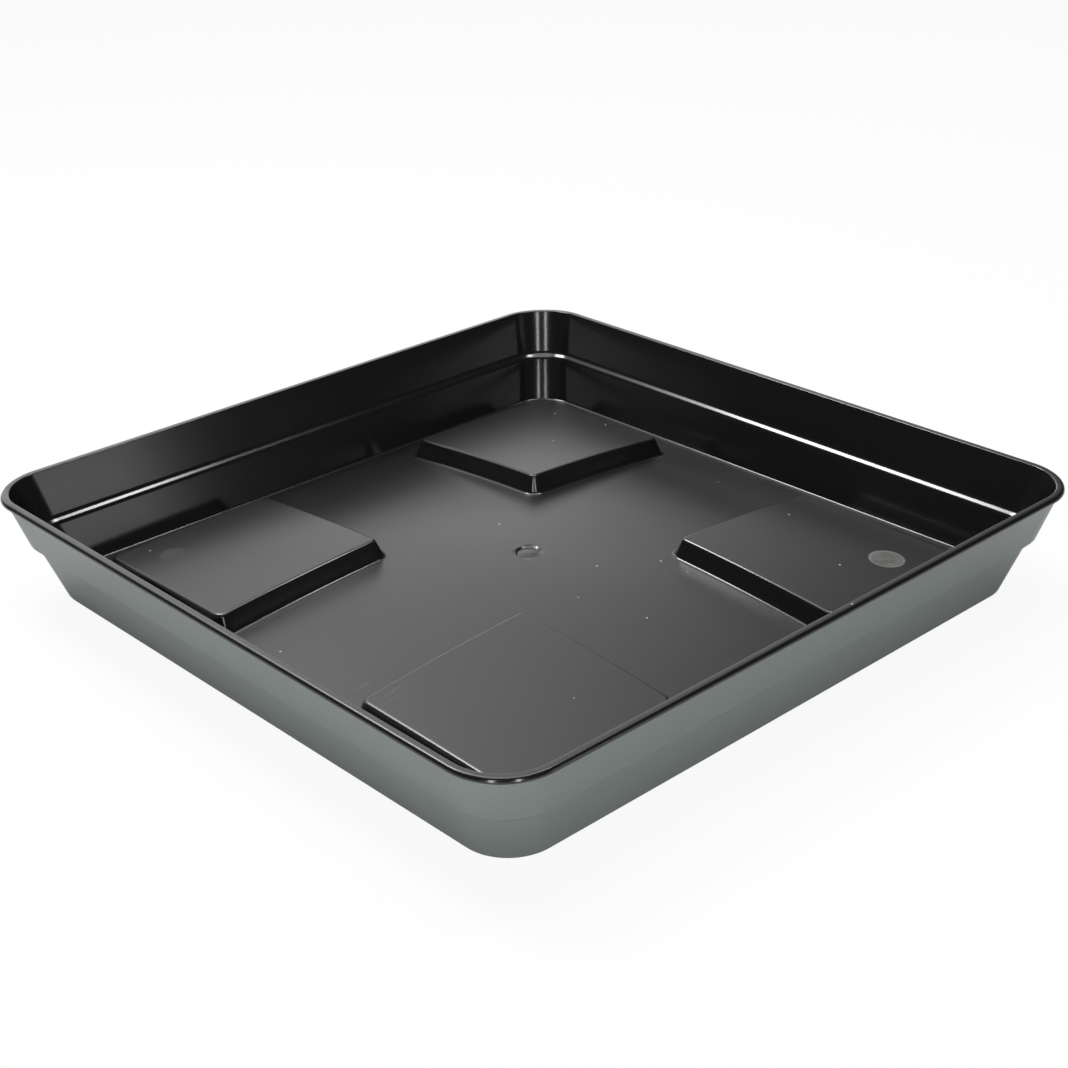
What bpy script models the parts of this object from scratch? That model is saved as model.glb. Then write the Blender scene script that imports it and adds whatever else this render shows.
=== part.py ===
"""Square plant saucer, moulded in one piece from black plastic.

A tapered square tray with rounded corners: a narrow lip round the top, a wall with a step half way
down, a crowned floor held off the ground by the foot of the wall, and four raised pads that keep
a pot out of the water. Floor, pads and walls share one thickness, so the pads are hollow below.
Metres, +Z up, origin on the ground at the middle of the footprint.
"""
from math import atan2, cos, pi, radians, sin, tan

import bmesh
import bpy
from mathutils import Vector

# Overall
WIDTH = 0.400
HEIGHT = 0.058
WALL = 0.0025

# Lip round the top
LIP_OVERHANG = 0.0025
LIP_THICKNESS = 0.0028
LIP_CORNER = 0.0305
LIP_ROUND = 0.0012

# Wall, measured on its outside
UPPER_DRAFT = radians(16.1)
LOWER_DRAFT = radians(17.7)
STEP_LEVEL = 0.0308
STEP_DROP = 0.0039
STEP_WIDTH = 0.0036
STEP_ROUND = 0.0010
FOOT_CORNER = 0.0240
FOOT_WIDTH = 0.0035
FOOT_ROUND = 0.0015

# Floor
FLOOR_LEVEL = 0.0064
FLOOR_CROWN = 0.0125
FLOOR_ROUND = 0.0030
DIMPLE_DIAMETER = 0.0150
DIMPLE_DEPTH = 0.0008

# Pads
CHANNEL_WIDTH = 0.1020
PAD_WALL_GAP = 0.0185
PAD_HEIGHT = 0.0100
PAD_RUN = 0.0035
PAD_ROUND = 0.0010
PAD_CORNER = 0.0110
PAD_INNER_CORNER = 0.0060

# Fineness of the curves
CORNER_STEPS = 8
PAD_CORNER_STEPS = 4
ROUND_STEPS = 2
DIMPLE_STEPS = 16
CROWN_CUTS = 11

PLASTIC_COLOUR = (0.012, 0.012, 0.012, 1.0)
PLASTIC_ROUGHNESS = 0.35


def wall_corners():
    """Corners of the wall's outer face, from the top level down to the ground, as (half width, level)."""
    lip_under = HEIGHT - LIP_THICKNESS
    beside_lip = WIDTH / 2 - LIP_OVERHANG
    above_step = beside_lip - (lip_under - STEP_LEVEL) * tan(UPPER_DRAFT)
    below_step = above_step - STEP_WIDTH
    step_foot = STEP_LEVEL - STEP_DROP
    return [
        Vector((beside_lip, lip_under)),
        Vector((above_step, STEP_LEVEL)),
        Vector((below_step, step_foot)),
        Vector((below_step - step_foot * tan(LOWER_DRAFT), 0.0)),
    ]


def thickened(corners):
    """The same corners moved inwards by the wall thickness, so that the wall is even all the way."""
    normals = []
    for upper, lower in zip(corners, corners[1:]):
        along = (lower - upper).normalized()
        normals.append(Vector((along.y, -along.x)))
    moved = [corners[0] + normals[0] * WALL]
    for corner, before, after in zip(corners[1:], normals, normals[1:]):
        mitre = (before + after).normalized()
        moved.append(corner + mitre * (WALL / mitre.dot(before)))
    moved.append(corners[-1] + normals[-1] * WALL)
    return moved


def at_level(upper, lower, level):
    """Half width at a level on the straight line through two corners."""
    return upper.x + (lower.x - upper.x) * (level - upper.y) / (lower.y - upper.y)


def floor_half():
    """Half width of the floor where it meets the inside of the wall."""
    inside = thickened(wall_corners())
    return at_level(inside[2], inside[3], FLOOR_LEVEL)


def section():
    """Corners of the wall's section as (half width, level, fillet), from floor top to floor underside."""
    outside = wall_corners()
    inside = thickened(outside)
    lip_edge = WIDTH / 2
    lip_under = outside[0].y
    foot_inside = outside[3].x - FOOT_WIDTH
    return [
        (floor_half() - 2 * FLOOR_ROUND, FLOOR_LEVEL, 0.0),
        (floor_half(), FLOOR_LEVEL, FLOOR_ROUND),
        (inside[2].x, inside[2].y, STEP_ROUND),
        (inside[1].x, inside[1].y, STEP_ROUND),
        (at_level(inside[0], inside[1], HEIGHT), HEIGHT, LIP_ROUND),
        (lip_edge, HEIGHT, LIP_ROUND),
        (lip_edge, lip_under, LIP_ROUND),
        (outside[0].x, lip_under, 0.0),
        (outside[1].x, outside[1].y, STEP_ROUND),
        (outside[2].x, outside[2].y, STEP_ROUND),
        (outside[3].x, 0.0, FOOT_ROUND),
        (foot_inside, 0.0, 0.0),
        (foot_inside, FLOOR_LEVEL - WALL, 0.0),
    ]


def rounded(corners):
    """Points along an open outline of (across, level, fillet) corners, each fillet turned into an arc."""
    points = [Vector(corners[0][:2])]
    for before, here, after in zip(corners, corners[1:], corners[2:]):
        corner = Vector(here[:2])
        radius = here[2]
        back = (Vector(before[:2]) - corner).normalized()
        ahead = (Vector(after[:2]) - corner).normalized()
        if radius == 0.0:
            points.append(corner)
            continue
        half_angle = back.angle(ahead) / 2
        middle = corner + (back + ahead).normalized() * (radius / sin(half_angle))
        spoke = corner + back * (radius / tan(half_angle)) - middle
        sweep = (pi - 2 * half_angle) * (1 if back.cross(ahead) < 0 else -1)
        start = atan2(spoke.y, spoke.x)
        for step in range(ROUND_STEPS + 1):
            angle = start + sweep * step / ROUND_STEPS
            points.append(middle + Vector((cos(angle), sin(angle))) * radius)
    points.append(Vector(corners[-1][:2]))
    return points


def corner_radius(half, level):
    """Plan radius of the wall at a point of its section: from foot to lip, and concentric across it."""
    outside = wall_corners()
    level = min(level, outside[0].y)
    outer_radius = FOOT_CORNER + (LIP_CORNER - LIP_OVERHANG - FOOT_CORNER) * level / outside[0].y
    for upper, lower in zip(outside, outside[1:]):
        if level >= lower.y:
            break
    return outer_radius + half - at_level(upper, lower, level)


def loop_through(mesh, points):
    """A closed loop of edges through the points."""
    verts = [mesh.verts.new(point) for point in points]
    return [mesh.edges.new(pair) for pair in zip(verts, verts[1:] + verts[:1])]


def square_loop(mesh, middle, half, radii, level, steps):
    """A level loop shaped as a square with a radius at each corner, counted from +X+Y round to +X-Y."""
    points = []
    for quarter, radius in enumerate(radii):
        side_x = 1 if quarter in (0, 3) else -1
        side_y = 1 if quarter in (0, 1) else -1
        for step in range(steps + 1):
            angle = (quarter + step / steps) * pi / 2
            points.append((middle.x + side_x * (half - radius) + radius * cos(angle),
                           middle.y + side_y * (half - radius) + radius * sin(angle), level))
    return loop_through(mesh, points)


def skin(mesh, loops):
    """Faces between each loop and the next, edge by edge."""
    for near, far in zip(loops, loops[1:]):
        for edge, partner in zip(near, far):
            mesh.faces.new((*edge.verts, *reversed(partner.verts)))


def wall(mesh):
    """The wall with its lip and foot; returns the loops that the floor's top and underside join."""
    loops = []
    for half, level in rounded(section()):
        radius = corner_radius(half, level)
        loops.append(square_loop(mesh, Vector((0, 0)), half, [radius] * 4, level, CORNER_STEPS))
    skin(mesh, loops)
    return loops[0], loops[-1]


def pads(mesh, inset, level, outline):
    """Four pads, or the hollows under them, over an outline of (inset, height); returns their foot loops."""
    near = CHANNEL_WIDTH / 2
    far = floor_half() - PAD_WALL_GAP
    half = (far - near) / 2
    feet = []
    for quarter in range(4):
        side_x = 1 if quarter in (0, 3) else -1
        side_y = 1 if quarter in (0, 1) else -1
        middle = Vector((side_x, side_y)) * (near + far) / 2
        corners = [PAD_CORNER] * 4
        corners[(quarter + 2) % 4] = PAD_INNER_CORNER
        loops = []
        for step_in, height in outline:
            radii = [max(radius - inset - step_in, PAD_ROUND / 2) for radius in corners]
            size = half - inset - step_in
            loops.append(square_loop(mesh, middle, size, radii, level + height, PAD_CORNER_STEPS))
        skin(mesh, loops)
        bmesh.ops.triangle_fill(mesh, edges=loops[-1], use_beauty=True)
        feet += loops[0]
    return feet


def dimple(mesh):
    """A shallow round dimple in the middle of the floor; returns its edge loop."""
    loops = []
    for share, depth in ((1.0, 0.0), (0.8, 0.7), (0.4, 1.0)):
        radius = share * DIMPLE_DIAMETER / 2
        angles = [2 * pi * step / DIMPLE_STEPS for step in range(DIMPLE_STEPS)]
        loops.append(loop_through(mesh, [(radius * cos(angle), radius * sin(angle),
                                          FLOOR_LEVEL - depth * DIMPLE_DEPTH) for angle in angles]))
    skin(mesh, loops)
    bmesh.ops.triangle_fill(mesh, edges=loops[-1], use_beauty=True)
    return loops[0]


def crown(mesh, faces):
    """Cuts flat floor faces into strips and lifts them into a low dome that fades out at the wall."""
    reach = floor_half()
    for axis in (Vector((1, 0, 0)), Vector((0, 1, 0))):
        for cut in range(CROWN_CUTS):
            place = reach * (2 * (cut + 0.5) / CROWN_CUTS - 1)
            edges = {edge for face in faces for edge in face.edges}
            verts = {vert for face in faces for vert in face.verts}
            outcome = bmesh.ops.bisect_plane(
                mesh, geom=[*faces, *edges, *verts], dist=WALL / 10, plane_co=axis * place, plane_no=axis)
            faces = [piece for piece in outcome["geom"] if isinstance(piece, bmesh.types.BMFace)]
    for vert in {vert for face in faces for vert in face.verts}:
        across = max(1 - (vert.co.x / reach) ** 2, 0.0)
        along = max(1 - (vert.co.y / reach) ** 2, 0.0)
        vert.co.z += FLOOR_CROWN * across * along


def floor_sheet(mesh, edge_loop, inset, level, outline, with_dimple):
    """One side of the floor, with its four pads or hollows, inside a wall loop."""
    wall_faces = set(mesh.faces)
    loops = edge_loop + pads(mesh, inset, level, outline)
    if with_dimple:
        loops += dimple(mesh)
    bmesh.ops.triangle_fill(mesh, edges=loops, use_beauty=True)
    crown(mesh, [face for face in mesh.faces if face not in wall_faces])


def plastic():
    material = bpy.data.materials.new("black_plastic")
    material.use_nodes = True
    shader = material.node_tree.nodes["Principled BSDF"]
    shader.inputs["Base Color"].default_value = PLASTIC_COLOUR
    shader.inputs["Roughness"].default_value = PLASTIC_ROUGHNESS
    shader.inputs["Metallic"].default_value = 0.0
    return material


def saucer():
    mesh = bmesh.new()
    top_edge, under_edge = wall(mesh)
    pad_top = rounded([
        (0.0, 0.0, 0.0),
        (PAD_RUN, PAD_HEIGHT, PAD_ROUND),
        (PAD_RUN + 2 * PAD_ROUND, PAD_HEIGHT, 0.0),
    ])
    hollow = [(0.0, 0.0), (PAD_RUN, PAD_HEIGHT)]
    floor_sheet(mesh, top_edge, 0.0, FLOOR_LEVEL, pad_top, with_dimple=True)
    floor_sheet(mesh, under_edge, WALL, FLOOR_LEVEL - WALL, hollow, with_dimple=False)
    bmesh.ops.recalc_face_normals(mesh, faces=mesh.faces)
    data = bpy.data.meshes.new("saucer")
    mesh.to_mesh(data)
    mesh.free()
    data.materials.append(plastic())
    data.shade_smooth()
    data.set_sharp_from_angle(angle=radians(30))
    body = bpy.data.objects.new("saucer", data)
    bpy.context.scene.collection.objects.link(body)


for leftover in list(bpy.data.objects):
    bpy.data.objects.remove(leftover)
saucer()
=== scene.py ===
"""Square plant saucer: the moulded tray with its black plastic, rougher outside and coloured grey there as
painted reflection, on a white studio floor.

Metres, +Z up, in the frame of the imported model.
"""
from math import atan2, cos, pi, radians, sin, tan

import bmesh
import bpy
from bpy.props import FloatProperty, FloatVectorProperty, IntProperty, PointerProperty
from bpy.types import Operator, Panel, PropertyGroup
from mathutils import Matrix, Vector


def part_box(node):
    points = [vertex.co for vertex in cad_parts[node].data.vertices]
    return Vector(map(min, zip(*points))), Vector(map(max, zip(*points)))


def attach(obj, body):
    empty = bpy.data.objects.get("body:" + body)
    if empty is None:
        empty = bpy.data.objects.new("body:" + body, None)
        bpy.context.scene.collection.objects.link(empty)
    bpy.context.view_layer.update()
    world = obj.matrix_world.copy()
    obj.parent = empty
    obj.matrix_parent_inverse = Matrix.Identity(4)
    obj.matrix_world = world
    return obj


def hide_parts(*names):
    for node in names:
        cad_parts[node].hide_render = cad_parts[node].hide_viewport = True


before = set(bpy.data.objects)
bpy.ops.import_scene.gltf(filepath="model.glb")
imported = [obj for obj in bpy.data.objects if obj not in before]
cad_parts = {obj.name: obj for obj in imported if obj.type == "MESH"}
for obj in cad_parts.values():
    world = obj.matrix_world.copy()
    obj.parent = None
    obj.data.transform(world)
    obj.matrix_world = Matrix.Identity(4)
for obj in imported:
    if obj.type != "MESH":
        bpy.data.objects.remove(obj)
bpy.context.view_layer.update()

bl_info = {
    "name": "Square plant saucer",
    "version": (1, 0, 0),
    "blender": (4, 5, 0),
    "location": "View3D > Sidebar > Saucer",
    "description": "Models a moulded square plant saucer and the studio around it",
    "category": "Add Mesh",
}

NODE_LOW, NODE_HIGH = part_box("saucer")

# The dimple from its rim inwards, as widths in radii and drops in depths: a rim, a ring and a low dome
DIMPLE_PROFILE = ((0.08, 0.9), (0.12, 0.1), (0.3, -0.4), (0.3, -0.3))

# Sizes of the plastic's noise patterns, as waves per metre
GRAIN_SCALE = 1400.0
MOTTLE_SCALE = 220.0
CLOUD_SCALE = 14.0
SCRATCH_SCALE = (500.0, 45.0, 45.0)

# The lamps with the camera behind -Y: place, width, height and watts
LAMPS = {
    "overhead": ((0.0, 0.1, 1.5), 0.9, 0.9, 6.2),
    "left": ((-0.62, 0.48, 1.24), 0.34, 0.38, 10.0),
    "right": ((0.478, 0.275, 1.345), 0.18, 0.18, 2.4),
    "right_low": ((1.18, -0.58, 0.2), 0.3, 0.25, 0.4),
    "camera_left": ((-0.3, -1.12, 0.32), 0.08, 0.9, 3.2),
    "camera_right": ((0.3, -1.12, 0.32), 0.08, 0.9, 3.2),
}


class SaucerSizes(PropertyGroup):
    """Sizes of the moulded tray."""

    width: FloatProperty(
        name="Width", description="Across the lip", unit="LENGTH", default=NODE_HIGH.x - NODE_LOW.x)
    height: FloatProperty(
        name="Height", description="Ground to lip", unit="LENGTH", default=NODE_HIGH.z - NODE_LOW.z)
    wall: FloatProperty(
        name="Wall", description="Thickness of wall, floor and pads", unit="LENGTH", default=0.0025)
    lip_overhang: FloatProperty(
        name="Lip overhang", description="How far the lip stands out", unit="LENGTH", default=0.0025)
    lip_thickness: FloatProperty(
        name="Lip thickness", description="Height of the lip's edge", unit="LENGTH", default=0.0028)
    lip_corner: FloatProperty(
        name="Lip corner", description="Radius of the lip in plan", unit="LENGTH", default=0.0305)
    lip_round: FloatProperty(
        name="Lip rounding", description="Radius of the lip's edges", unit="LENGTH", default=0.0008)
    lip_roll: FloatProperty(
        name="Lip roll", description="Radius of the lip's top towards its outer edge", unit="LENGTH",
        default=0.0019)
    upper_draft: FloatProperty(
        name="Upper draft", description="Lean of the wall above its step", unit="ROTATION",
        default=radians(16.1))
    lower_draft: FloatProperty(
        name="Lower draft", description="Lean of the wall below its step", unit="ROTATION",
        default=radians(17.7))
    step_level: FloatProperty(
        name="Step level", description="Top of the step in the wall", unit="LENGTH", default=0.0308)
    step_drop: FloatProperty(
        name="Step drop", description="Height of the step", unit="LENGTH", default=0.0039)
    step_width: FloatProperty(
        name="Step width", description="How far the step goes in", unit="LENGTH", default=0.0036)
    step_round: FloatProperty(
        name="Step rounding", description="Radius of the step's edges", unit="LENGTH", default=0.0006)
    ledge_level: FloatProperty(
        name="Ledge level", description="Top of the step on the inside", unit="LENGTH", default=0.0332)
    ledge_drop: FloatProperty(
        name="Ledge drop", description="Height of the step on the inside", unit="LENGTH", default=0.0024)
    ledge_round: FloatProperty(
        name="Ledge rounding", description="Radius of the step's edges on the inside", unit="LENGTH",
        default=0.004)
    front_bow: FloatProperty(
        name="Front bow", description="How steeply the two front rims rise out of their corners",
        unit="LENGTH", default=0.001)
    back_bow: FloatProperty(
        name="Back bow", description="How steeply the two back rims rise out of their corners",
        unit="LENGTH", default=0.0029)
    corner_sag: FloatProperty(
        name="Corner sag", description="Dip of the warped rim at its corners", unit="LENGTH", default=0.0014)
    foot_corner: FloatProperty(
        name="Foot corner", description="Radius of the foot in plan", unit="LENGTH", default=0.024)
    foot_width: FloatProperty(
        name="Foot width", description="Width of the foot's flat", unit="LENGTH", default=0.0035)
    foot_round: FloatProperty(
        name="Foot rounding", description="Radius of the foot's outer edge", unit="LENGTH", default=0.0015)
    floor_level: FloatProperty(
        name="Floor level", description="Height of the floor at the wall", unit="LENGTH", default=0.0064)
    floor_crown: FloatProperty(
        name="Floor crown", description="Rise of the floor's middle", unit="LENGTH", default=0.0125)
    floor_round: FloatProperty(
        name="Floor fillet", description="Radius between floor and wall", unit="LENGTH", default=0.0016)
    dimple_diameter: FloatProperty(
        name="Dimple", description="Diameter of the mark in the middle", unit="LENGTH", default=0.014)
    dimple_depth: FloatProperty(
        name="Dimple depth", description="Depth of the mark in the middle", unit="LENGTH", default=0.0009)
    channel_width: FloatProperty(
        name="Channel", description="Width of the cross between the pads", unit="LENGTH", default=0.102)
    pad_wall_gap: FloatProperty(
        name="Gutter", description="Distance from pads to wall", unit="LENGTH", default=0.0185)
    pad_height: FloatProperty(
        name="Pad height", description="Rise of a pad above the floor", unit="LENGTH", default=0.010)
    pad_run: FloatProperty(
        name="Pad slope", description="How far a pad's side leans in", unit="LENGTH", default=0.0045)
    pad_round: FloatProperty(
        name="Pad rounding", description="Radius of a pad's edges", unit="LENGTH", default=0.0024)
    pad_corner: FloatProperty(
        name="Pad corner", description="Radius of a pad's outer corners", unit="LENGTH", default=0.009)
    pad_inner_corner: FloatProperty(
        name="Pad inner corner", description="Radius of the corner nearest the middle", unit="LENGTH",
        default=0.006)
    strip: FloatProperty(
        name="Mesh strip", description="Width of the strips that follow the crown", unit="LENGTH",
        default=0.005)
    corner_steps: IntProperty(name="Corner steps", description="Edges round each corner", default=16)
    round_steps: IntProperty(name="Round steps", description="Edges across each fillet", default=4)


class SaucerLook(PropertyGroup):
    """Colours and finish of the plastic, the light and the view."""

    inside: FloatVectorProperty(
        name="Inside", description="Colour of the glossy inside", subtype="COLOR", size=3,
        default=(0.0075, 0.0068, 0.0063))
    # The grey here is painted reflection: it stands in for the pale floor and backdrop mirrored by the black
    # plastic's rough outside.
    outside: FloatVectorProperty(
        name="Outside", description="Colour of the satin outside", subtype="COLOR", size=3,
        default=(0.164, 0.193, 0.187))
    # Real dust and scuffs; the same colour also paints the pale mark on the right pad, partly its own whitish
    # colour and partly painted sheen.
    dust: FloatVectorProperty(
        name="Dust", description="Colour of dust, scuffs and the chalky mould mark", subtype="COLOR", size=3,
        default=(0.55, 0.55, 0.53))
    smooth_mark: FloatVectorProperty(
        name="Smooth mark", description="Place and diameter of the mark on the left pad", unit="LENGTH",
        size=3, default=(-0.1310, -0.1317, 0.013))
    # The matt mark on the right pad: its paleness is partly its own whitish colour and partly painted sheen
    # of the light its rough face scatters.
    matt_mark_with_painted_sheen: FloatVectorProperty(
        name="Chalky mark", description="Place and diameter of the mark on the right pad", unit="LENGTH",
        size=3, default=(0.1368, 0.1213, 0.0185))
    scuffs: FloatVectorProperty(
        name="Scuffs", description="Place and diameter of the scuffed patch on the front pad", unit="LENGTH",
        size=3, default=(0.0500, -0.1384, 0.050))
    inside_roughness: FloatProperty(
        name="Inside roughness", description="Gloss of the inner walls", subtype="FACTOR", default=0.17)
    floor_roughness: FloatProperty(
        name="Floor roughness", description="Gloss of the floor and pads", subtype="FACTOR", default=0.34)
    outside_roughness: FloatProperty(
        name="Outside roughness", description="Gloss of the outside", subtype="FACTOR", default=0.42)
    cloudiness: FloatProperty(
        name="Cloudiness", description="How far the gloss varies from place to place", subtype="FACTOR",
        default=0.12)
    grain_depth: FloatProperty(
        name="Grain depth", description="Depth of the grain on the outside", unit="LENGTH", default=0.0002)
    speck_spacing: FloatProperty(
        name="Speck spacing", description="Cells of the grid that dust lies in", unit="LENGTH", default=0.018)
    speck_size: FloatProperty(
        name="Speck size", description="Diameter of a speck of dust", unit="LENGTH", default=0.0011)
    speck_share: FloatProperty(
        name="Speck share", description="Share of the cells that hold a speck", subtype="FACTOR",
        default=0.07)
    floor: FloatVectorProperty(
        name="Studio floor", description="Colour of the studio floor", subtype="COLOR", size=3,
        default=(0.9, 0.9, 0.9))
    floor_reach: FloatProperty(
        name="Floor reach", description="Half the studio floor's width", unit="LENGTH", default=40.0)
    floor_gap: FloatProperty(
        name="Floor gap", description="Distance of the studio floor under the foot", unit="LENGTH",
        default=0.0003)
    floor_seen: FloatProperty(
        name="White seen", description="Share of plain white in the floor as the camera sees it",
        subtype="FACTOR", default=0.92)
    floor_mirrored: FloatProperty(
        name="White mirrored", description="Share of plain white in the floor as the saucer mirrors it",
        subtype="FACTOR", default=0.2)
    backdrop: FloatProperty(
        name="Backdrop", description="Brightness of the backdrop behind the saucer", default=1.2)
    horizon: FloatProperty(
        name="Horizon", description="Brightness added to the backdrop low down", default=0.9)
    room: FloatProperty(
        name="Room", description="Brightness of the room on the camera's side", default=0.06)
    azimuth: FloatProperty(
        name="Azimuth", description="Camera's turn round the saucer", unit="ROTATION",
        default=radians(47.659))
    elevation: FloatProperty(
        name="Elevation", description="Camera above the horizon", unit="ROTATION", default=radians(25.92))
    roll: FloatProperty(
        name="Roll", description="Camera's tilt to the side", unit="ROTATION", default=radians(-1.509))
    distance: FloatProperty(
        name="Distance", description="Camera to the middle of the saucer", unit="LENGTH", default=0.9874)
    aim: FloatVectorProperty(
        name="Aim", description="Camera's move to the right and up", unit="LENGTH", size=2,
        default=(0.0023, 0.0261))
    lens: FloatProperty(
        name="Lens", description="Focal length", unit="CAMERA", default=63.81)


class Shade:
    """A socket of a material's nodes. Arithmetic on it adds Math nodes."""

    def __init__(self, tree, socket=None):
        self.tree = tree
        self.socket = socket

    def node(self, kind, settings, inputs, output=0):
        """Adds a node, with its settings made first and then its inputs' values or links."""
        node = self.tree.nodes.new(kind)
        for name, value in settings.items():
            setattr(node, name, value)
        for name, value in inputs.items():
            if isinstance(value, Shade):
                self.tree.links.new(value.socket, node.inputs[name])
            else:
                node.inputs[name].default_value = value
        return Shade(self.tree, node.outputs[output])

    def math(self, operation, *values):
        return self.node("ShaderNodeMath", {"operation": operation}, dict(enumerate(values)))

    def __add__(self, other):
        return self.math("ADD", self, other)

    __radd__ = __add__

    def __mul__(self, other):
        return self.math("MULTIPLY", self, other)

    __rmul__ = __mul__

    def __sub__(self, other):
        return self.math("SUBTRACT", self, other)

    def __rsub__(self, other):
        return self.math("SUBTRACT", other, self)

    def fade(self, start, end):
        """0 up to start and 1 from end on, smoothly in between."""
        return self.node("ShaderNodeMapRange", {"interpolation_type": "SMOOTHSTEP"},
                         {"Value": self, "From Min": start, "From Max": end})

    def blend(self, first, second):
        """The first colour where this is 0 and the second where it is 1."""
        return self.node("ShaderNodeMix", {"data_type": "RGBA"}, {0: self, 6: first, 7: second}, 2)

    def along(self, direction):
        """How far this vector goes in a direction."""
        return self.node("ShaderNodeVectorMath", {"operation": "DOT_PRODUCT"}, {0: self, 1: direction},
                         "Value")


def wall_corners(sizes):
    """Corners of the wall's outer face from the lip down to the ground, as (half width, level)."""
    lip_under = sizes.height - sizes.lip_thickness
    beside_lip = sizes.width / 2 - sizes.lip_overhang
    above_step = beside_lip - (lip_under - sizes.step_level) * tan(sizes.upper_draft)
    below_step = above_step - sizes.step_width
    step_foot = sizes.step_level - sizes.step_drop
    return [
        Vector((beside_lip, lip_under)),
        Vector((above_step, sizes.step_level)),
        Vector((below_step, step_foot)),
        Vector((below_step - step_foot * tan(sizes.lower_draft), 0.0)),
    ]


def thickened(corners, wall):
    """The same corners moved inwards by the wall's thickness."""
    normals = []
    for upper, lower in zip(corners, corners[1:]):
        along = (lower - upper).normalized()
        normals.append(Vector((along.y, -along.x)))
    moved = [corners[0] + normals[0] * wall]
    for corner, before, after in zip(corners[1:], normals, normals[1:]):
        mitre = (before + after).normalized()
        moved.append(corner + mitre * (wall / mitre.dot(before)))
    moved.append(corners[-1] + normals[-1] * wall)
    return moved


def at_level(upper, lower, level):
    """Half width at a level on the straight line through two corners."""
    return upper.x + (lower.x - upper.x) * (level - upper.y) / (lower.y - upper.y)


def floor_half(sizes):
    """Half width of the floor where it meets the inside of the wall."""
    inside = thickened(wall_corners(sizes), sizes.wall)
    return at_level(inside[2], inside[3], sizes.floor_level)


def section(sizes):
    """The wall's section from the floor over the lip to the floor's underside, as (half width, level,
    rounding, share of the rough outside finish with its grey painted reflection)."""
    outside = wall_corners(sizes)
    inside = thickened(outside, sizes.wall)
    lip_edge = sizes.width / 2
    lip_under = outside[0].y
    foot_inside = outside[3].x - sizes.foot_width
    ledge_foot = sizes.ledge_level - sizes.ledge_drop
    edge = floor_half(sizes)
    return [
        (edge - 2 * sizes.floor_round, sizes.floor_level, 0.0, 0.0),
        (edge, sizes.floor_level, sizes.floor_round, 0.0),
        (at_level(inside[2], inside[3], ledge_foot), ledge_foot, sizes.ledge_round, 0.0),
        (at_level(inside[0], inside[1], sizes.ledge_level), sizes.ledge_level, sizes.ledge_round, 0.0),
        (at_level(inside[0], inside[1], sizes.height), sizes.height, sizes.lip_round, 0.0),
        (lip_edge, sizes.height, sizes.lip_roll, 0.0),
        (lip_edge, lip_under, sizes.lip_round, 0.0),
        (outside[0].x, lip_under, sizes.lip_round / 2, 1.0),
        (outside[1].x, outside[1].y, sizes.step_round, 1.0),
        (outside[2].x, outside[2].y, sizes.step_round, 1.0),
        (outside[3].x, 0.0, sizes.foot_round, 1.0),
        (foot_inside, 0.0, sizes.foot_round / 2, 1.0),
        (foot_inside, sizes.floor_level - sizes.wall, 0.0, 1.0),
    ]


def corner_radius(sizes, half, level):
    """Plan radius at a point of the section: it grows from foot to lip, and is concentric across the wall."""
    outside = wall_corners(sizes)
    level = min(level, outside[0].y)
    lip_radius = sizes.lip_corner - sizes.lip_overhang
    outer_radius = sizes.foot_corner + (lip_radius - sizes.foot_corner) * level / outside[0].y
    for upper, lower in zip(outside, outside[1:]):
        if level >= lower.y:
            break
    return outer_radius + half - at_level(upper, lower, level)


def rounded(corners, steps):
    """Points along an open outline of (across, level, rounding) corners, each rounding turned into an arc."""
    points = [Vector(corners[0][:2])]
    for before, here, after in zip(corners, corners[1:], corners[2:]):
        corner = Vector(here[:2])
        back = (Vector(before[:2]) - corner).normalized()
        ahead = (Vector(after[:2]) - corner).normalized()
        half_angle = back.angle(ahead) / 2
        middle = corner + (back + ahead).normalized() * (here[2] / sin(half_angle))
        spoke = corner + back * (here[2] / tan(half_angle)) - middle
        sweep = (pi - 2 * half_angle) * (1 if back.cross(ahead) < 0 else -1)
        start = atan2(spoke.y, spoke.x)
        for step in range(steps + 1):
            angle = start + sweep * step / steps
            points.append(middle + Vector((cos(angle), sin(angle))) * here[2])
    points.append(Vector(corners[-1][:2]))
    return points


def rounded_square(mesh, middle, half, level, radius, steps, inner_radius=None):
    """A level square face with rounded corners, the one nearest the origin with a radius of its own."""
    place = Matrix.Translation((middle.x, middle.y, level))
    corners = bmesh.ops.create_grid(mesh, x_segments=1, y_segments=1, size=half, matrix=place)["verts"]
    groups = [(corners, radius)]
    if inner_radius is not None:
        corners.sort(key=lambda corner: corner.co.xy.length)
        groups = [(corners[:1], inner_radius), (corners[1:], radius)]
    for group, offset in groups:
        arcs = bmesh.ops.bevel(mesh, geom=group, offset=offset, offset_type="OFFSET", segments=steps,
                               profile=0.5, affect="VERTICES", material=-1)["verts"]
    return arcs[0].link_faces[0]


def round_loop(mesh, edges, offset, steps):
    """Rounds a loop of edges over a distance on each side of it."""
    bmesh.ops.bevel(mesh, geom=edges, offset=offset, offset_type="OFFSET", segments=steps, profile=0.5,
                    affect="EDGES", material=-1, clamp_overlap=True)


def reshape(verts, old, new):
    """Takes a loop from one rounded square, given as half width, radius and level, to another."""
    old_half, old_radius, _ = old
    new_half, new_radius, new_level = new
    old_centre = old_half - old_radius
    new_centre = new_half - new_radius
    for vert in verts:
        for axis in (0, 1):
            away = abs(vert.co[axis])
            if away > old_centre:
                moved = new_centre + (away - old_centre) * new_radius / old_radius
            else:
                moved = away * new_centre / old_centre
            vert.co[axis] = moved if vert.co[axis] > 0 else -moved
        vert.co.z = new_level


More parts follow.
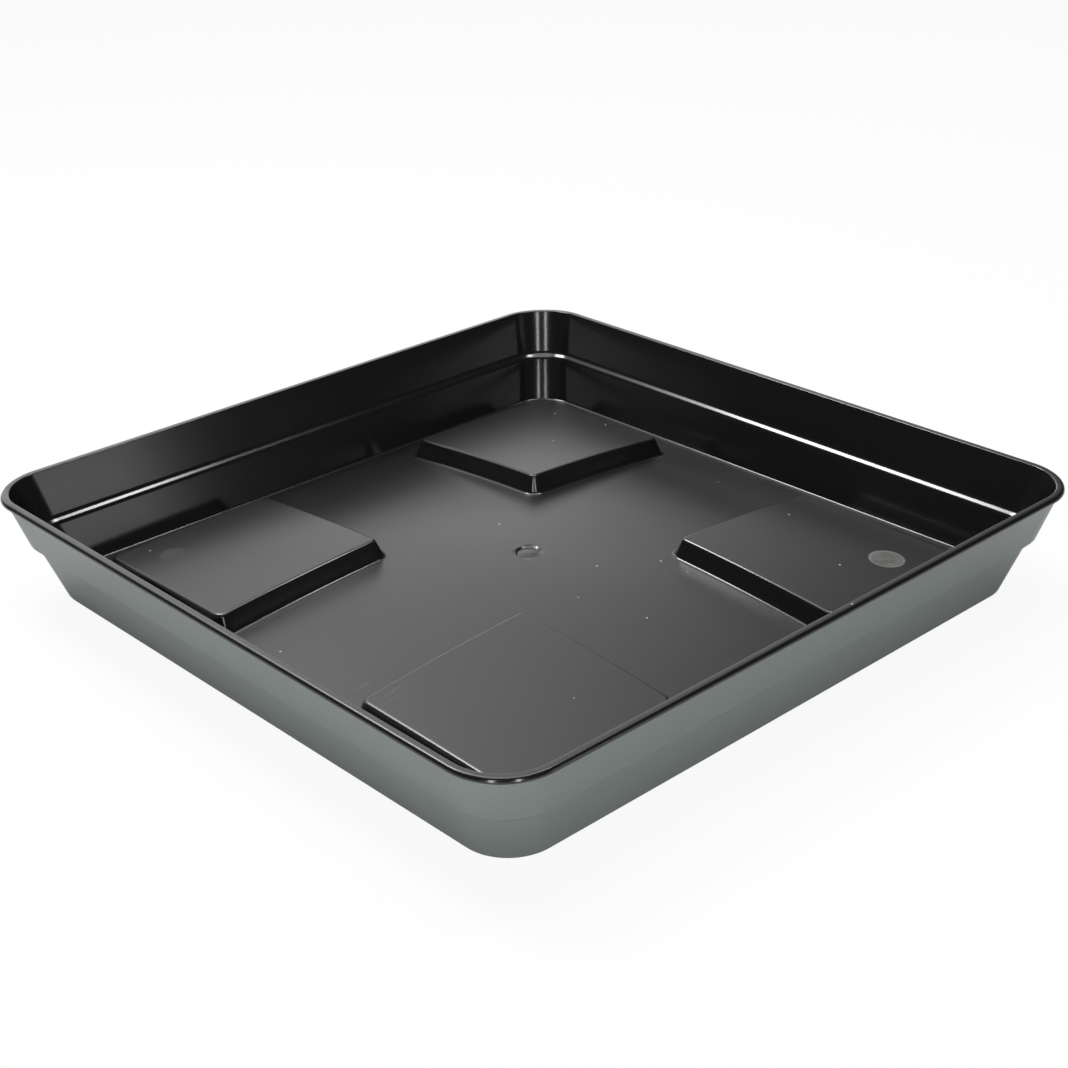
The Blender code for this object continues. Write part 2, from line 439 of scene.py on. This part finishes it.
def wall(mesh, sizes):
    """The wall with lip and foot, extruded along its section and left open where the floor goes."""
    corners = section(sizes)
    stations = [(half, corner_radius(sizes, half, level), level) for half, level, _, _ in corners]
    # Marks the outside faces, which are rougher and coloured grey as painted reflection of the pale floor.
    satin_and_painted_reflection = mesh.verts.layers.float.new("satin_and_painted_reflection")
    half, radius, level = stations[0]
    face = rounded_square(mesh, Vector((0, 0)), half, level, radius, sizes.corner_steps)
    loops = [list(face.edges)]
    bmesh.ops.delete(mesh, geom=[face], context="FACES_ONLY")
    for old, new, corner in zip(stations, stations[1:], corners[1:]):
        made = bmesh.ops.extrude_edge_only(mesh, edges=loops[-1])["geom"]
        loops.append([piece for piece in made if isinstance(piece, bmesh.types.BMEdge)])
        verts = [piece for piece in made if isinstance(piece, bmesh.types.BMVert)]
        reshape(verts, old, new)
        for vert in verts:
            vert[satin_and_painted_reflection] = corner[3]
    for before, here, after, loop in zip(corners, corners[1:], corners[2:], loops[1:]):
        into = Vector(here[:2]) - Vector(before[:2])
        out = Vector(after[:2]) - Vector(here[:2])
        round_loop(mesh, loop, here[2] * tan(into.angle(out) / 2), sizes.round_steps)
    warp(mesh, sizes)


def warp(mesh, sizes):
    """Dips the rim, most of all at its corners, as a tray warps when it cools, and leaves the foot level.

    The sides have no points between their corners, so they stay straight.
    """
    for vert in mesh.verts:
        x, y, level = vert.co
        front = x > 0 if abs(x) > abs(y) else y < 0
        bow = sizes.front_bow if front else sizes.back_bow
        share = 2 * min(abs(x), abs(y)) / sizes.width
        vert.co.z += (bow * (1 - share ** 2) - sizes.corner_sag) * (level / sizes.height) ** 0.5


def inset(mesh, face, width, rise):
    """Insets a face and lifts what is left of it."""
    bmesh.ops.inset_region(mesh, faces=[face], thickness=width, depth=rise, use_boundary=True,
                           use_even_offset=True)


def pads(mesh, sizes, inside, level):
    """Four pads, or with the wall's thickness as inside the hollows under them."""
    near = sizes.channel_width / 2
    far = floor_half(sizes) - sizes.pad_wall_gap
    rounding_reach = sizes.pad_round * tan(atan2(sizes.pad_height, sizes.pad_run) / 2)
    # The flat strip at a pad's foot and on its top, a little wider than the rounding takes
    skirt = 1.1 * rounding_reach
    side = rounded([(0.0, 0.0, 0.0), (skirt, 0.0, sizes.pad_round),
                    (skirt + sizes.pad_run, sizes.pad_height, sizes.pad_round),
                    (2 * skirt + sizes.pad_run, sizes.pad_height, 0.0)], sizes.round_steps)
    grown = skirt - inside
    inner_corner = max(sizes.pad_inner_corner + grown, side[-1].x + sizes.pad_round / 2)
    for side_x in (-1, 1):
        for side_y in (-1, 1):
            middle = Vector((side_x, side_y)) * (near + far) / 2
            face = rounded_square(mesh, middle, (far - near) / 2 + grown, level, sizes.pad_corner + grown,
                                  sizes.corner_steps // 2, inner_corner)
            for before, after in zip(side, side[1:]):
                inset(mesh, face, after.x - before.x, after.y - before.y)


def dimple(mesh, sizes):
    """A shallow round recess with a low dome in it, in the middle of the floor."""
    radius = sizes.dimple_diameter / 2
    place = Matrix.Translation((0, 0, sizes.floor_level))
    rim = bmesh.ops.create_circle(mesh, cap_ends=True, radius=radius, segments=4 * sizes.corner_steps,
                                  matrix=place)["verts"]
    face = rim[0].link_faces[0]
    for width, drop in DIMPLE_PROFILE:
        inset(mesh, face, width * radius, -drop * sizes.dimple_depth)


def crown(mesh, sizes, faces):
    """Cuts the floor's faces into strips and lifts them into a low dome that ends at the wall."""
    reach = floor_half(sizes)
    cuts = int(2 * reach / sizes.strip)
    geom = {piece for face in faces for piece in (face, *face.edges, *face.verts)}
    for axis in (Vector((1, 0, 0)), Vector((0, 1, 0))):
        for cut in range(1, cuts):
            place = reach * (2 * cut / cuts - 1)
            geom = bmesh.ops.bisect_plane(mesh, geom=list(geom), dist=sizes.wall / 20, plane_co=axis * place,
                                          plane_no=axis)["geom"]
    for vert in geom:
        if isinstance(vert, bmesh.types.BMVert):
            share = (1 - (vert.co.x / reach) ** 2) * (1 - (vert.co.y / reach) ** 2)
            vert.co.z += sizes.floor_crown * share


def floor_sheet(mesh, sizes, inside):
    """One side of the floor with its pads or their hollows, filled in between them and the wall."""
    wall_faces = set(mesh.faces)
    level = sizes.floor_level - inside
    pads(mesh, sizes, inside, level)
    if not inside:
        dimple(mesh, sizes)
    rims = [edge for edge in mesh.edges
            if edge.is_boundary and abs(edge.verts[0].co.z - level) < sizes.wall / 2]
    bmesh.ops.triangle_fill(mesh, edges=rims, use_beauty=True)
    crown(mesh, sizes, [face for face in mesh.faces if face not in wall_faces])
    # The floor's underside is outside: rougher, and coloured grey as painted reflection of the pale floor.
    satin_and_painted_reflection = mesh.verts.layers.float["satin_and_painted_reflection"]
    for vert in {vert for face in mesh.faces if face not in wall_faces for vert in face.verts}:
        vert[satin_and_painted_reflection] = 1.0 if inside else 0.0


def noise(shade, where, scale, detail):
    return shade.node("ShaderNodeTexNoise", {}, {"Vector": where, "Scale": scale, "Detail": detail})


def distance_from(shade, where, mark):
    """Distance from the middle of a mark in radii, seen from above."""
    x, y, diameter = mark
    plan = shade.node("ShaderNodeVectorMath", {"operation": "MULTIPLY"}, {0: where, 1: (1, 1, 0)})
    away = shade.node("ShaderNodeVectorMath", {"operation": "DISTANCE"}, {0: plan, 1: (x, y, 0)}, "Value")
    return away * (2 / diameter)


def specks(shade, where, spacing, size, share):
    """Mask of specks of dust seen from above, in a share of the cells of a loose grid."""
    cells = {"Vector": where, "Scale": 1 / spacing}
    flat = {"voronoi_dimensions": "2D"}
    away = shade.node("ShaderNodeTexVoronoi", flat, cells, "Distance")
    chance = shade.node("ShaderNodeTexVoronoi", flat, cells, "Color")
    taken = shade.node("ShaderNodeSeparateColor", {}, {"Color": chance}, "Red").fade(1 - share, 1.01 - share)
    return away.fade(0.6 * size / spacing, 0.3 * size / spacing) * taken


def black_plastic(look):
    """Black plastic: glossy inside, and rougher with a fine grain outside, coloured grey there as painted
    reflection of the pale floor; with mould marks, scuffs, dust and painted sheen on the pale mark.
    """
    material = bpy.data.materials.new("black_plastic")
    material.use_nodes = True
    tree = material.node_tree
    shader = tree.nodes["Principled BSDF"]
    shade = Shade(tree)
    where = shade.node("ShaderNodeTexCoord", {}, {}, "Object")
    level = shade.node("ShaderNodeTexCoord", {}, {}, "Normal").along((0, 0, 1)).fade(0.85, 0.97)
    # Outside faces: rougher, and coloured grey as painted reflection of the pale floor.
    outside = shade.node("ShaderNodeAttribute", {"attribute_name": "satin_and_painted_reflection"}, {}, "Fac")
    grain = noise(shade, where, GRAIN_SCALE, 2.0)
    mottle = noise(shade, where, MOTTLE_SCALE, 3.0).fade(0.35, 0.65)
    clouds = noise(shade, where, CLOUD_SCALE, 4.0)
    smooth_mark = distance_from(shade, where, look.smooth_mark).fade(1.06, 0.94) * level
    from_matt_mark = distance_from(shade, where, look.matt_mark_with_painted_sheen)
    matt_mark_with_painted_sheen = from_matt_mark.fade(1.04, 0.96) * level
    stretched = shade.node("ShaderNodeMapping", {}, {"Vector": where, "Scale": SCRATCH_SCALE})
    scratched = noise(shade, stretched, 1.0, 2.0).fade(0.6, 0.72)
    scuffs = scratched * distance_from(shade, where, look.scuffs).fade(1.0, 0.2) * level
    dust = specks(shade, where, look.speck_spacing, look.speck_size, look.speck_share) * level
    # The pale mark is partly its own whitish colour and partly painted sheen, mottled and lighter at its rim;
    # scuffs and dust are real.
    mark_rim_painted_sheen = from_matt_mark.fade(0.8, 0.95)
    dust_scuffs_and_painted_sheen = matt_mark_with_painted_sheen * (0.13 + 0.08 * mottle + 0.1 * mark_rim_painted_sheen) + 0.1 * scuffs + dust
    # The grey outside is painted reflection of the pale floor on black plastic; the black inside is the
    # plastic's own colour.
    colour = outside.blend((*look.inside, 1.0), (*look.outside, 1.0))
    colour = dust_scuffs_and_painted_sheen.blend(colour, (*look.dust, 1.0))
    roughness = (look.inside_roughness + (look.outside_roughness - look.inside_roughness) * outside
                 + (look.floor_roughness - look.inside_roughness) * level)
    roughness = roughness + look.cloudiness * (clouds - 0.5) + 0.3 * smooth_mark + 0.2 * matt_mark_with_painted_sheen
    relief = grain * (0.1 + 0.9 * outside) + 0.5 * (smooth_mark + matt_mark_with_painted_sheen)
    bump = shade.node("ShaderNodeBump", {}, {"Strength": 0.1, "Distance": look.grain_depth, "Height": relief})
    tree.links.new(colour.socket, shader.inputs["Base Color"])
    tree.links.new(roughness.socket, shader.inputs["Roughness"])
    tree.links.new(bump.socket, shader.inputs["Normal"])
    shader.inputs["IOR"].default_value = 1.6
    return material


class SAUCER_OT_tray(Operator):
    """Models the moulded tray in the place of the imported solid."""

    bl_idname = "saucer.tray"
    bl_label = "Tray"

    def execute(self, context):
        sizes = context.scene.saucer_sizes
        mesh = bmesh.new()
        wall(mesh, sizes)
        floor_sheet(mesh, sizes, 0.0)
        floor_sheet(mesh, sizes, sizes.wall)
        bmesh.ops.recalc_face_normals(mesh, faces=mesh.faces)
        data = bpy.data.meshes.new("moulded_tray")
        mesh.to_mesh(data)
        mesh.free()
        data.materials.append(black_plastic(context.scene.saucer_look))
        data.shade_smooth()
        tray = bpy.data.objects.new("moulded_tray", data)
        context.scene.collection.objects.link(tray)
        # Large flats keep their own shading right up to the fillets beside them
        tray.modifiers.new("flat_walls", "WEIGHTED_NORMAL").weight = 80
        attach(tray, "root")
        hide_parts("saucer")
        return {"FINISHED"}


def area_light(context, name, place, width, height, watts):
    """A rectangular lamp that faces the saucer."""
    data = bpy.data.lights.new(name, "AREA")
    data.shape = "RECTANGLE"
    data.size = width
    data.size_y = height
    data.energy = watts
    lamp = bpy.data.objects.new(name, data)
    lamp.location = place
    lamp.rotation_mode = "QUATERNION"
    lamp.rotation_quaternion = (-place).to_track_quat("-Z", "Y")
    context.scene.collection.objects.link(lamp)


class SAUCER_OT_studio(Operator):
    """Sets up the floor, the light and the camera."""

    bl_idname = "saucer.studio"
    bl_label = "Studio"

    def execute(self, context):
        look = context.scene.saucer_look
        self.floor(context, look)
        self.world(context, look)
        self.lamps(context, look)
        self.camera(context, look)
        context.scene.view_settings.view_transform = "Standard"
        return {"FINISHED"}

    def floor(self, context, look):
        """A pale floor, shown lighter than it is lit, with a weak shadow left on it."""
        mesh = bmesh.new()
        bmesh.ops.create_grid(mesh, x_segments=1, y_segments=1, size=look.floor_reach,
                              matrix=Matrix.Translation((0, 0, -look.floor_gap)))
        data = bpy.data.meshes.new("studio_floor")
        mesh.to_mesh(data)
        mesh.free()
        material = bpy.data.materials.new("studio_floor")
        material.use_nodes = True
        tree = material.node_tree
        shader = tree.nodes["Principled BSDF"]
        shader.inputs["Base Color"].default_value = (*look.floor, 1.0)
        shader.inputs["Roughness"].default_value = 1.0
        shader.inputs["Specular IOR Level"].default_value = 0.0
        shade = Shade(tree)
        shares = {"Is Camera Ray": look.floor_seen, "Is Glossy Ray": look.floor_mirrored,
                  "Is Transmission Ray": look.floor_mirrored}
        seen = sum(share * shade.node("ShaderNodeLightPath", {}, {}, ray) for ray, share in shares.items())
        white = shade.node("ShaderNodeEmission", {}, {"Color": (1, 1, 1, 1), "Strength": 1.0})
        lit = Shade(tree, shader.outputs["BSDF"])
        mixed = shade.node("ShaderNodeMixShader", {}, {0: seen, 1: lit, 2: white})
        tree.links.new(mixed.socket, tree.nodes["Material Output"].inputs["Surface"])
        data.materials.append(material)
        floor = bpy.data.objects.new("studio_floor", data)
        context.scene.collection.objects.link(floor)

    def world(self, context, look):
        """A backdrop that is brightest low down and dims to the right, and a darker room by the camera."""
        world = bpy.data.worlds.new("studio")
        world.use_nodes = True
        tree = world.node_tree
        shade = Shade(tree)
        away = Matrix.Rotation(look.azimuth, 3, "Z") @ Vector((0, 1, 0.75)).normalized()
        left = Matrix.Rotation(look.azimuth, 3, "Z") @ Vector((-1, 0, 0))
        towards = shade.node("ShaderNodeTexCoord", {}, {}, "Generated")
        lit = towards.along(away).fade(0.5, 0.85) * towards.along(left).fade(-0.4, 0.06)
        low = towards.along((0, 0, 1)).fade(0.55, 0.15)
        brightness = look.room + lit * (look.backdrop - look.room + look.horizon * low)
        tree.links.new(brightness.socket, tree.nodes["Background"].inputs["Strength"])
        tree.nodes["Background"].inputs["Color"].default_value = (1.0, 1.0, 1.0, 1.0)
        context.scene.world = world

    def lamps(self, context, look):
        """Soft lamps above and to the sides, and two slim ones beside the camera, turned with the camera."""
        turn = Matrix.Rotation(look.azimuth, 3, "Z")
        for name, (place, width, height, watts) in LAMPS.items():
            area_light(context, name, turn @ Vector(place), width, height, watts)

    def camera(self, context, look):
        turn = (Matrix.Rotation(look.azimuth, 4, "Z") @ Matrix.Rotation(pi / 2 - look.elevation, 4, "X")
                @ Matrix.Rotation(look.roll, 4, "Z"))
        data = bpy.data.cameras.new("camera")
        data.lens = look.lens
        data.sensor_width = 36.0
        camera = bpy.data.objects.new("camera", data)
        camera.matrix_world = turn @ Matrix.Translation((*look.aim, look.distance))
        context.scene.collection.objects.link(camera)
        context.scene.camera = camera


class SAUCER_PT_panel(Panel):
    bl_label = "Plant saucer"
    bl_idname = "SAUCER_PT_panel"
    bl_space_type = "VIEW_3D"
    bl_region_type = "UI"
    bl_category = "Saucer"

    def draw(self, context):
        for group in (context.scene.saucer_sizes, context.scene.saucer_look):
            for name in group.__annotations__:
                self.layout.prop(group, name)
        for operator in (SAUCER_OT_tray, SAUCER_OT_studio):
            self.layout.operator(operator.bl_idname)


CLASSES = (SaucerSizes, SaucerLook, SAUCER_OT_tray, SAUCER_OT_studio, SAUCER_PT_panel)


def register():
    for kind in CLASSES:
        bpy.utils.register_class(kind)
    bpy.types.Scene.saucer_sizes = PointerProperty(type=SaucerSizes)
    bpy.types.Scene.saucer_look = PointerProperty(type=SaucerLook)


def unregister():
    del bpy.types.Scene.saucer_look
    del bpy.types.Scene.saucer_sizes
    for kind in reversed(CLASSES):
        bpy.utils.unregister_class(kind)


def main():
    register()
    bpy.ops.saucer.tray()
    bpy.ops.saucer.studio()


if __name__ == "__main__":
    main()
